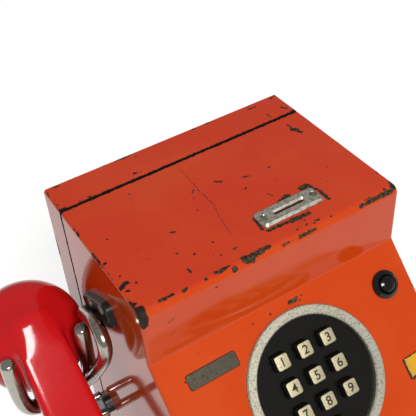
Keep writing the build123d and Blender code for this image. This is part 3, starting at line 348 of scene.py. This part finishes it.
def makeMetal(name, base, tarnish, low, high, grainMm, tarnishFrom, depthMm):
    # Plated or bare metal: full metal with the default IOR, its colour broken by tarnish, its polish by use.
    material, tree, shader, spot = startMaterial(name)
    patch = addNode(tree, "ShaderNodeTexNoise", {
        "Vector": spot, "Scale": 1 / (grainMm * metal["patchGrains"]), "Detail": 6.0, "Roughness": 0.65})
    worn = addNode(tree, "ShaderNodeMapRange", {
        "Value": patch, "From Min": tarnishFrom, "From Max": tarnishFrom + metal["tarnishBlend"]})
    colour = addNode(tree, "ShaderNodeMix", {"Factor": worn, 6: linear(base), 7: linear(tarnish)},
                     data_type="RGBA").outputs[2]
    grain = addNode(tree, "ShaderNodeTexNoise", {"Vector": spot, "Scale": 1 / grainMm, "Detail": 5.0})
    grainLow, grainHigh = metal["grain"]
    rough = addNode(tree, "ShaderNodeMapRange", {
        "Value": grain, "From Min": grainLow, "From Max": grainHigh, "To Min": low, "To Max": high})
    finishMaterial(tree, shader, colour, rough, grain, depthMm, metallic=1.0)
    return material


casting = {"skin": "#BEC0B8", "sandy": "#C2B898", "pit": "#5E5A4A", "pitPerMm": 0.8, "pits": (0.5, 0.62),
           "cloudPerMm": 0.07, "rough": (0.36, 0.62), "pitDepthMm": 0.12, "metallic": 0.75}


def makeCasting():
    # Sand-cast aluminium ring: a pale skin full of small dark pits, dull all over.
    material, tree, shader, spot = startMaterial("sandCastAluminium")
    c = casting
    pits = addNode(tree, "ShaderNodeTexNoise", {
        "Vector": spot, "Scale": c["pitPerMm"], "Detail": 6.0, "Roughness": 0.8})
    low, high = c["pits"]
    dark = addNode(tree, "ShaderNodeMapRange", {"Value": pits, "From Min": low, "From Max": high})
    cloud = addNode(tree, "ShaderNodeTexNoise", {"Vector": spot, "Scale": c["cloudPerMm"], "Detail": 3.0})
    colour = addNode(tree, "ShaderNodeMix", {"Factor": cloud, 6: linear(c["skin"]), 7: linear(c["sandy"])},
                     data_type="RGBA").outputs[2]
    colour = addNode(tree, "ShaderNodeMix", {"Factor": dark, 6: colour, 7: linear(c["pit"])},
                     data_type="RGBA").outputs[2]
    low, high = c["rough"]
    rough = addNode(tree, "ShaderNodeMapRange", {"Value": pits, "To Min": low, "To Max": high})
    finishMaterial(tree, shader, colour, rough, pits, c["pitDepthMm"], metallic=c["metallic"])
    return material


lacquer = {"pale": "#E6AE22", "deep": "#D99C1C", "rubbed": "#8E8A6C", "rim": "#33261A", "halfLength": 13.5,
           "halfWidth": 7.4, "alongSlope": 1.4142, "raggedPerMm": 0.9, "raggedMm": 2.4,
           "rimEdge": (-0.1, 0.25), "rubMm": 8.0, "rubEdge": (-6.8, -5.2), "rubMost": 0.2, "rough": (0.3, 0.6),
           "depthMm": 0.05}


def makeLacquer():
    # Yellow lacquered tin plate, bare of words: a thin rim worn to dark metal, one end rubbed a little grey.
    # The plate lies on the slope, so a step back across it is longer by the factor alongSlope.
    material, tree, shader, spot = startMaterial("lacqueredTinPlate")
    y = lacquer
    low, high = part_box("instruction_plate")
    middle = (low + high) / 2 * 1000
    local = addNode(tree, "ShaderNodeVectorMath", {0: spot, 1: middle}, operation="SUBTRACT")
    ragged = addNode(tree, "ShaderNodeTexNoise", {"Vector": spot, "Scale": y["raggedPerMm"], "Detail": 5.0})
    parts = addNode(tree, "ShaderNodeSeparateXYZ", {0: local})
    side = addNode(tree, "ShaderNodeMath", {0: parts.outputs["X"]}, operation="ABSOLUTE")
    side = addNode(tree, "ShaderNodeMath", {0: side, 1: y["halfLength"]}, operation="SUBTRACT")
    down = addNode(tree, "ShaderNodeMath", {0: parts.outputs["Y"]}, operation="ABSOLUTE")
    down = addNode(tree, "ShaderNodeMath", {0: down, 1: y["alongSlope"], 2: -y["halfWidth"]},
                   operation="MULTIPLY_ADD")
    rim = addNode(tree, "ShaderNodeMath", {0: side, 1: down}, operation="MAXIMUM")
    rim = addNode(tree, "ShaderNodeMath", {0: ragged, 1: y["raggedMm"], 2: rim}, operation="MULTIPLY_ADD")
    low, high = y["rimEdge"]
    rim = addNode(tree, "ShaderNodeMapRange", {"Value": rim, "From Min": low, "From Max": high})
    rub = addNode(tree, "ShaderNodeMath", {0: ragged, 1: y["rubMm"], 2: parts.outputs["X"]},
                  operation="MULTIPLY_ADD")
    low, high = y["rubEdge"]
    rub = addNode(tree, "ShaderNodeMapRange", {
        "Value": rub, "From Min": low, "From Max": high, "To Min": y["rubMost"], "To Max": 0.0})
    colour = addNode(tree, "ShaderNodeMix", {"Factor": ragged, 6: linear(y["pale"]), 7: linear(y["deep"])},
                     data_type="RGBA").outputs[2]
    colour = addNode(tree, "ShaderNodeMix", {"Factor": rub, 6: colour, 7: linear(y["rubbed"])},
                     data_type="RGBA").outputs[2]
    colour = addNode(tree, "ShaderNodeMix", {"Factor": rim, 6: colour, 7: linear(y["rim"])},
                     data_type="RGBA").outputs[2]
    low, high = y["rough"]
    rough = addNode(tree, "ShaderNodeMapRange", {"Value": rim, "To Min": low, "To Max": high})
    finishMaterial(tree, shader, colour, rough, rim, y["depthMm"])
    return material


caseEnamel = makeEnamel()
# moulded and painted finishes: two close colours, then the roughness where nothing has rubbed it
handsetRed = makeMoulding("polishedPhenolic", "#D0161A", "#C21218", 0.09, scuff=0.05)
blackPhenolic = makeMoulding("blackPhenolic", "#110F0B", "#0B0A08", 0.18)
keyStemBlack = makeMoulding("blackUreaKeys", "#1C1A18", "#100F0E", 0.22)
buttonBlack = makeMoulding("blackAcrylicButton", "#151414", "#0D0D0D", 0.08)
bracketBlack = makeMoulding("blackPaintedZincBracket", "#171412", "#211D19", 0.3, scuff=0.25)
softRubber = makeMoulding("softRubber", "#1B1B1B", "#242322", 0.55)
boardGreen = makeMoulding("glassFibreBoard", "#2E5B3A", "#264C31", 0.4)
castRing = makeCasting()
# metals: colour and tarnish, lowest and highest roughness, grain in mm, the level of noise at which tarnish
# sets in, grain depth in mm
keyFaceCream = makeMetal("creamAnodisedKeyFace", "#CFC5A2", "#8E8463", 0.34, 0.55, 0.14, 0.52, 0.05)
digitInk = makeMoulding("fillingInk", "#1C140E", "#2A1F15", 0.5)
forkChrome = makeMetal("chromeOnBrass", "#A9A69C", "#6A5636", 0.14, 0.26, 1.1, 0.53, 0.004)
slotNickel = makeMetal("satinNickelPlate", "#D6D2C4", "#97917B", 0.32, 0.55, 0.35, 0.46, 0.06)
chuteSteel = makeMetal("oiledChuteSteel", "#3E3B35", "#2A2723", 0.5, 0.65, 0.8, 0.5, 0.02)
screwNickel = makeMetal("nickelScrews", "#A9A596", "#6E6A58", 0.3, 0.5, 0.3, 0.45, 0.03)
badgeMetal = makeMetal("dullBadgePlate", "#514C41", "#3A362E", 0.42, 0.6, 0.25, 0.5, 0.06)
zincSteel = makeMetal("zincPlatedSheet", "#B9BBB8", "#8F918C", 0.35, 0.5, 1.2, 0.55, 0.02)
pressedSteel = makeMetal("polishedPressedSteel", "#C4C3BE", "#9A988E", 0.2, 0.36, 0.8, 0.55, 0.02)
gongBrass = makeMetal("turnedBellMetal", "#C0A060", "#8F743E", 0.2, 0.35, 0.8, 0.5, 0.02)
yellowLacquer = makeLacquer()

paint(caseEnamel, "front_cover", "back_box", "cash_door")
paint(blackPhenolic, "keypad_plate", "hook_switch")
paint(buttonBlack, "push_button", "button_bezel")
paint(bracketBlack, "hook_block", "lower_rest_block")
paint(softRubber, "rest_sleeve", "case_gland", "handset_gland")
paint(castRing, "keypad_ring")
paint(slotNickel, "coin_slot_plate", "door_hinge")
paint(badgeMetal, "badge_plate")
paint(yellowLacquer, "instruction_plate")
paint(screwNickel, "coin_plate_screws", "base_screws", "hook_block_screws", "lock_barrel")
paint(forkChrome, "hook_fork", "lower_rest")
paint(handsetRed, "handset_shell", "ear_cap", "mouth_cap")
paint(pressedSteel, "return_cup", "return_flap")
paint(zincSteel, "base_plate", "bezel_nut", "return_chute", "chassis", "cash_box",
      "hook_lever", "receiver_capsule", "microphone_capsule")
paint(chuteSteel, "coin_chute", "coin_selector")
paint(boardGreen, "keypad_board", "circuit_board")
paint(gongBrass, "bell_gongs")
keyNames = [str(n) for n in range(1, 10)] + ["0"]
paint(keyStemBlack, *["key_" + name for name in keyNames])
print("materials made")


def addObject(name, data):
    thing = bpy.data.objects.new(name, data)
    bpy.context.scene.collection.objects.link(thing)
    return thing


def plainMesh(thing):
    # What an object's modifiers, text or curve come to, as a mesh of its own.
    bpy.context.view_layer.update()
    return bpy.data.meshes.new_from_object(thing.evaluated_get(bpy.context.evaluated_depsgraph_get()))


def addPiece(name, mesh, material, body, *replaced, sharpAngle=30):
    piece = addObject(name, mesh)
    mesh.materials.clear()
    mesh.materials.append(material)
    mesh.shade_smooth()
    mesh.set_sharp_from_angle(angle=math.radians(sharpAngle))
    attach(piece, body)
    if replaced:
        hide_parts(*replaced)


def outerFace(name, direction):
    # The middle of a piece, moved out along a direction to its outermost point.
    top = max(v.co.dot(direction) for v in nodes[name].data.vertices)
    low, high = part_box(name)
    middle = (low + high) / 2
    return middle + direction * (top - middle.dot(direction))


def panelPlace(point):
    # Turns a piece drawn flat, with +Z up, onto the sloping panel at a point.
    turn = Matrix((acrossPanel, upSlope, outward)).transposed().to_4x4()
    return Matrix.Translation(point) @ turn


keySizes = {"face": 9.3e-3, "corner": 1.5e-3, "cornerSteps": 6, "thickness": 0.5e-3, "bevel": 0.18e-3,
            "bevelSteps": 3, "bevelProfile": 0.6, "sunk": 0.25e-3, "digit": 6.1e-3, "fontToDigit": 1.38,
            "digitDepth": 0.06e-3, "digitWeight": 0.0001}


def keyTile(name):
    # A flat square tile with round corners and a small bevel round its upper rim.
    s = keySizes
    mesh = bpy.data.meshes.new(name)
    build = bmesh.new()
    ring = []
    centre = s["face"] / 2 - s["corner"]
    for cx, cy, start in ((1, 1, 0), (-1, 1, 90), (-1, -1, 180), (1, -1, 270)):
        for step in range(s["cornerSteps"] + 1):
            turn = math.radians(start + step * 90 / s["cornerSteps"])
            ring.append(build.verts.new((cx * centre + s["corner"] * math.cos(turn),
                                         cy * centre + s["corner"] * math.sin(turn), 0)))
    base = build.faces.new(ring)
    raised = bmesh.ops.extrude_face_region(build, geom=[base])
    lifted = [v for v in raised["geom"] if isinstance(v, bmesh.types.BMVert)]
    bmesh.ops.translate(build, verts=lifted, vec=(0, 0, s["thickness"]))
    rim = [e for e in build.edges if all(v in lifted for v in e.verts)]
    bmesh.ops.bevel(build, geom=rim, offset=s["bevel"], segments=s["bevelSteps"], affect="EDGES",
                    profile=s["bevelProfile"])
    bmesh.ops.recalc_face_normals(build, faces=build.faces)
    build.to_mesh(mesh)
    build.free()
    return mesh


def digitMesh(digit):
    # One digit, drawn flat with its middle at the origin.
    s = keySizes
    words = bpy.data.curves.new("digitOutline", "FONT")
    words.body = digit
    words.size = s["digit"] * s["fontToDigit"]
    words.align_x = "CENTER"
    words.align_y = "CENTER"
    words.extrude = s["digitDepth"]
    words.offset = s["digitWeight"]
    holder = addObject("digitHolder", words)
    flat = plainMesh(holder)
    bpy.data.objects.remove(holder)
    xs = [v.co.x for v in flat.vertices]
    ys = [v.co.y for v in flat.vertices]
    middle = Vector(((min(xs) + max(xs)) / 2, (min(ys) + max(ys)) / 2, 0))
    flat.transform(Matrix.Translation(-middle))
    return flat


def makeKeyTops():
    s = keySizes
    for name in keyNames:
        top = outerFace("key_" + name, outward)
        tile = keyTile("keyTile_" + name)
        tile.transform(panelPlace(top - outward * s["sunk"]))
        addPiece("keyFace_" + name, tile, keyFaceCream, "key_" + name)
        digit = digitMesh(name)
        digit.transform(panelPlace(top + outward * (s["thickness"] - s["sunk"])))
        addPiece("digit_" + name, digit, digitInk, "key_" + name)


makeKeyTops()
print("keys finished")

# The handle runs out on the receiver's dome at the nose, and melts into it there. Sizes are in metres.
handsetSkin = {"weld": 1e-6, "voxel": 0.0011, "relax": 0.5, "rounds": 10, "sharpAngle": 60,
               "nose": (-0.137, 0.064, 0.210), "noseReach": 0.030, "noseRise": 2.5, "noseRounds": 260,
               "noseMelt": 0.7}
restSkin = {"weld": 1e-6, "voxel": 0.0008, "relax": 0.5, "rounds": 5, "sharpAngle": 60}


def meltedSkin(mesh, skin):
    # A denser skin over a mesh: its corners melt into small moulded fillets.
    piece = addObject("skin", mesh)
    remesh = piece.modifiers.new("skin", "REMESH")
    remesh.mode = "VOXEL"
    remesh.voxel_size = skin["voxel"]
    remesh.adaptivity = 0
    relax = piece.modifiers.new("relax", "SMOOTH")
    relax.factor = skin["relax"]
    relax.iterations = skin["rounds"]
    melted = plainMesh(piece)
    if "nose" in skin:
        piece.modifiers.clear()
        piece.data = melted
        meltNose(piece, skin)
        melted = plainMesh(piece)
    bpy.data.objects.remove(piece)
    return melted


def meltNose(piece, skin):
    # Many more rounds of smoothing round one point. They fade out at its reach and are full from
    # 1 / noseRise of the way in.
    group = piece.vertex_groups.new(name="blend")
    for vertex in piece.data.vertices:
        near = 1 - (vertex.co - Vector(skin["nose"])).length / skin["noseReach"]
        if near > 0:
            group.add([vertex.index], min(1.0, near * skin["noseRise"]), "REPLACE")
    melt = piece.modifiers.new("melt", "SMOOTH")
    melt.factor = skin["noseMelt"]
    melt.iterations = skin["noseRounds"]
    melt.vertex_group = "blend"


def smoothCopy(node, name, skin, material, body):
    mesh = nodes[node].data.copy()
    build = bmesh.new()
    build.from_mesh(mesh)
    bmesh.ops.remove_doubles(build, verts=build.verts, dist=skin["weld"])
    build.to_mesh(mesh)
    build.free()
    addPiece(name, meltedSkin(mesh, skin), material, body, node, sharpAngle=skin["sharpAngle"])


smoothCopy("handset_shell", "handsetBody", handsetSkin, handsetRed, "handset")
smoothCopy("lower_rest", "bentRest", restSkin, forkChrome, "case")
print("handset and rest skinned")

fork = {  # each bar runs smoothly by its points: x, y, z and the bar's radius there, in millimetres
    "prongs": [(-111.3, 40.4, 203.0, 2.6), (-111.3, 40.4, 202.2, 5.0), (-111.4, 40.4, 199, 5.7),
               (-111.7, 40.4, 180, 5.5), (-112.2, 40.4, 160, 5.2), (-116, 40.4, 149.5, 5.2),
               (-128, 40.4, 147, 5.4), (-137, 40.4, 147, 5.5), (-146, 40.4, 147, 5.5),
               (-158, 40.4, 149.5, 5.3), (-161.8, 40.4, 160, 5.3), (-162.3, 40.4, 180, 5.5),
               (-162.5, 40.4, 199, 5.7), (-162.6, 40.4, 202.2, 5.0), (-162.6, 40.4, 203.0, 2.6)],
    "arm": [(-105.0, 50.5, 203.4, 4.3), (-105.2, 46, 206, 4.4), (-105.6, 33, 214, 4.6),
            (-106.4, 19, 221, 4.8), (-107.6, 7.5, 214, 4.9), (-108.6, 11, 199, 4.8), (-110.2, 21, 181, 4.6),
            (-112, 32, 162, 4.6), (-114.5, 40.4, 149, 4.8), (-122, 40.4, 147, 4.8)],
    "shaft": [(-106.5, 49.5, 204, 4.4), (-100.4, 49.5, 204, 4.4), (-100.3, 49.5, 204, 3.5),
              (-79.2, 49.5, 204, 3.5)],  # straight from point to point
    "roundSteps": 8, "runSteps": 12,
}
forkSkin = {"weld": 1e-7, "voxel": 0.7 / 1000, "relax": 0.5, "rounds": 10, "sharpAngle": 60}


def runMesh(points, straight):
    curve = bpy.data.curves.new("run", "CURVE")
    curve.dimensions = "3D"
    curve.bevel_depth = 1.0
    curve.bevel_resolution = fork["roundSteps"]
    curve.use_fill_caps = True
    run = curve.splines.new("POLY" if straight else "NURBS")
    run.points.add(len(points) - 1)
    for point, (x, y, z, radius) in zip(run.points, points):
        point.co = (x / 1000, y / 1000, z / 1000, 1)
        point.radius = radius / 1000
    if not straight:
        run.order_u = 4
        run.use_endpoint_u = True
        run.resolution_u = fork["runSteps"]
    holder = addObject("run", curve)
    mesh = plainMesh(holder)
    bpy.data.objects.remove(holder)
    return mesh


def makeFork():
    # Cast in one piece: the bars are joined and their corners melt into each other.
    build = bmesh.new()
    for key in ("prongs", "arm", "shaft"):
        build.from_mesh(runMesh(fork[key], straight=key == "shaft"))
    bmesh.ops.remove_doubles(build, verts=build.verts, dist=forkSkin["weld"])
    mesh = bpy.data.meshes.new("forkBars")
    build.to_mesh(mesh)
    build.free()
    addPiece("castFork", meltedSkin(mesh, forkSkin), forkChrome, "hook", "hook_fork",
             sharpAngle=forkSkin["sharpAngle"])


makeFork()
print("fork cast")

# Slotted screws: one head and shank, set out over the places of a group, in millimetres and degrees.
screws = {
    "coin_plate_screws": {
        "places": [(6.4, -0.63, 264.9), (44.6, -0.63, 264.9)], "facing": (0, 0, 0), "head": 2.6, "foot": 1.3,
        "height": 1.3, "slot": 0.7, "deep": 0.6, "shank": 1.2, "length": 7.6, "seed": 3},
    "hook_block_screws": {
        "places": [(-100.0, 44.42, 214.9), (-100.0, 25.36, 225.9)], "facing": (0, -90, 0), "head": 2.8,
        "foot": 3.2, "height": 0.8, "slot": 0.9, "deep": 0.5, "shank": 2.0, "length": 8.9, "seed": 8},
    "base_screws": {
        "places": [(x, y, 1.6) for x in (-78, 78) for y in (-97.47, 58.97)], "facing": (180, 0, 0),
        "head": 3.3, "foot": 1.5, "height": 1.5, "slot": 0.8, "deep": 0.7, "shank": 1.5, "length": 4.4,
        "seed": 5},
}
screwRound = {"head": 40, "shank": 24}  # flats round the head and the shank
slotLength = 0.02  # metres, longer than any head is wide


def makeScrewTree():
    tree = bpy.data.node_groups.new("slottedScrews", "GeometryNodeTree")
    kinds = {"Places": "Geometry", "Facing": "Vector", "Seed": "Int", "Finish": "Material"}
    sockets = {}
    for name in ("Places", "Head", "Foot", "Height", "Slot", "Deep", "Shank", "Length", "Facing", "Seed",
                 "Finish"):
        socket = tree.interface.new_socket(name, in_out="INPUT",
                                           socket_type="NodeSocket" + kinds.get(name, "Float"))
        sockets[name] = socket.identifier
    tree.interface.new_socket("Screws", in_out="OUTPUT", socket_type="NodeSocketGeometry")
    given = addNode(tree, "NodeGroupInput").outputs
    head = addNode(tree, "GeometryNodeMeshCone", {
        "Vertices": screwRound["head"], "Radius Top": given["Head"], "Radius Bottom": given["Foot"],
        "Depth": given["Height"]})
    slotDepth = addNode(tree, "ShaderNodeMath", {0: given["Deep"], 1: 2.0}, operation="MULTIPLY")
    slot = addNode(tree, "ShaderNodeCombineXYZ", {"X": given["Slot"], "Y": slotLength, "Z": slotDepth})
    slot = addNode(tree, "GeometryNodeMeshCube", {"Size": slot})
    lift = addNode(tree, "ShaderNodeCombineXYZ", {"Z": given["Height"]})
    slot = addNode(tree, "GeometryNodeTransform", {"Geometry": slot, "Translation": lift})
    head = addNode(tree, "GeometryNodeMeshBoolean", {"Mesh 1": head, "Mesh 2": slot}, operation="DIFFERENCE")
    shank = addNode(tree, "GeometryNodeMeshCylinder", {
        "Vertices": screwRound["shank"], "Radius": given["Shank"], "Depth": given["Length"]})
    sink = addNode(tree, "ShaderNodeMath", {0: given["Length"], 1: -0.5}, operation="MULTIPLY")
    sink = addNode(tree, "ShaderNodeCombineXYZ", {"Z": sink})
    shank = addNode(tree, "GeometryNodeTransform", {"Geometry": shank, "Translation": sink})
    whole = addNode(tree, "GeometryNodeJoinGeometry", {"Geometry": head})
    setInputs(tree, whole, {"Geometry": shank})  # a second link into the same socket joins both
    copies = addNode(tree, "GeometryNodeInstanceOnPoints", {
        "Points": given["Places"], "Instance": whole, "Rotation": given["Facing"]})
    turn = addNode(tree, "FunctionNodeRandomValue", {3: math.tau, "Seed": given["Seed"]}, data_type="FLOAT")
    turn = addNode(tree, "ShaderNodeCombineXYZ", {"Z": turn.outputs[1]})
    copies = addNode(tree, "GeometryNodeRotateInstances", {
        "Instances": copies, "Rotation": turn, "Local Space": True})
    real = addNode(tree, "GeometryNodeRealizeInstances", {"Geometry": copies})
    done = addNode(tree, "GeometryNodeSetMaterial", {"Geometry": real, "Material": given["Finish"]})
    addNode(tree, "NodeGroupOutput", {"Screws": done})
    return tree, sockets


def makeScrews(finish):
    tree, sockets = makeScrewTree()
    for node, s in screws.items():
        points = bpy.data.meshes.new(node)
        points.from_pydata([[c / 1000 for c in place] for place in s["places"]], [], [])
        holder = addObject("holder", points)
        modifier = holder.modifiers.new("screws", "NODES")
        modifier.node_group = tree
        for name in ("Head", "Foot", "Height", "Slot", "Deep", "Shank", "Length"):
            modifier[sockets[name]] = s[name.lower()] / 1000
        modifier[sockets["Facing"]] = [math.radians(angle) for angle in s["facing"]]
        modifier[sockets["Seed"]] = s["seed"]
        modifier[sockets["Finish"]] = finish
        mesh = plainMesh(holder)
        bpy.data.objects.remove(holder)
        addPiece(node + "_turned", mesh, finish, "case", node)


makeScrews(screwNickel)
print("screws set")

# Soft studio light: one lamp high in front, a little to the object's left, and an even grey sky all round.
# The floor glows white for the eye and in reflections, and still takes the object's shadow.
studio = {"sky": 0.36, "lamp": 28.0, "lampSize": 0.5, "lampPlace": (-0.24, -1.35, 1.61),
          "lampTarget": (0, 0, 0.18), "floor": "#B4B3B1", "floorRoughness": 0.9, "glow": 0.74, "reach": 3.0}


def makeLamp():
    lamp = bpy.data.lights.new("keyLamp", "AREA")
    lamp.energy = studio["lamp"]
    lamp.size = studio["lampSize"]
    holder = addObject("keyLamp", lamp)
    holder.location = studio["lampPlace"]
    aim = Vector(studio["lampTarget"]) - Vector(studio["lampPlace"])
    holder.rotation_euler = aim.to_track_quat("-Z", "Y").to_euler()


def makeSky():
    world = bpy.data.worlds.new("paleSky")
    world.use_nodes = True
    setInputs(world.node_tree, world.node_tree.nodes["Background"], {
        "Color": (1, 1, 1, 1), "Strength": studio["sky"]})
    bpy.context.scene.world = world


def seenRays(tree):
    # 1 for rays of the eye, of gloss and of glass, 0 for the rays that light the object.
    path = addNode(tree, "ShaderNodeLightPath").outputs
    seen = addNode(tree, "ShaderNodeMath", {0: path["Is Camera Ray"], 1: path["Is Glossy Ray"]},
                   operation="MAXIMUM")
    return addNode(tree, "ShaderNodeMath", {0: seen, 1: path["Is Transmission Ray"]}, operation="MAXIMUM")


def makeFloor():
    mesh = bpy.data.meshes.new("floorMesh")
    reach = studio["reach"]
    mesh.from_pydata([(-reach, -reach, 0), (reach, -reach, 0), (reach, reach, 0), (-reach, reach, 0)], [],
                     [(0, 1, 2, 3)])
    floor = addObject("studioFloor", mesh)
    material = bpy.data.materials.new("paleFloor")
    material.use_nodes = True
    tree = material.node_tree
    glow = addNode(tree, "ShaderNodeMath", {0: seenRays(tree), 1: studio["glow"]}, operation="MULTIPLY")
    setInputs(tree, tree.nodes["Principled BSDF"], {
        "Base Color": linear(studio["floor"]), "Roughness": studio["floorRoughness"],
        "Emission Color": (1, 1, 1, 1), "Emission Strength": glow})
    mesh.materials.append(material)


# The eye looks down on the left front corner. Its own right, down and ahead are unit vectors.
eye = {"lensMm": 68.84, "sensorMm": 36.0, "place": (-0.20204, -0.30114, 0.59761),
       "right": (0.843718, -0.533692, -0.057562), "down": (-0.389988, -0.53576, -0.748913),
       "ahead": (0.368849, 0.65432, -0.660164)}


def makeCamera():
    camera = bpy.data.cameras.new("camera")
    camera.lens = eye["lensMm"]
    camera.sensor_width = eye["sensorMm"]
    holder = addObject("camera", camera)
    axes = Matrix((Vector(eye["right"]), -Vector(eye["down"]), -Vector(eye["ahead"])))
    holder.matrix_world = Matrix.Translation(eye["place"]) @ axes.transposed().to_4x4()
    bpy.context.scene.camera = holder


makeLamp()
makeSky()
makeFloor()
makeCamera()
bpy.context.scene.view_settings.view_transform = "Standard"
print("camera and lamps placed")

bpy.context.view_layer.update()
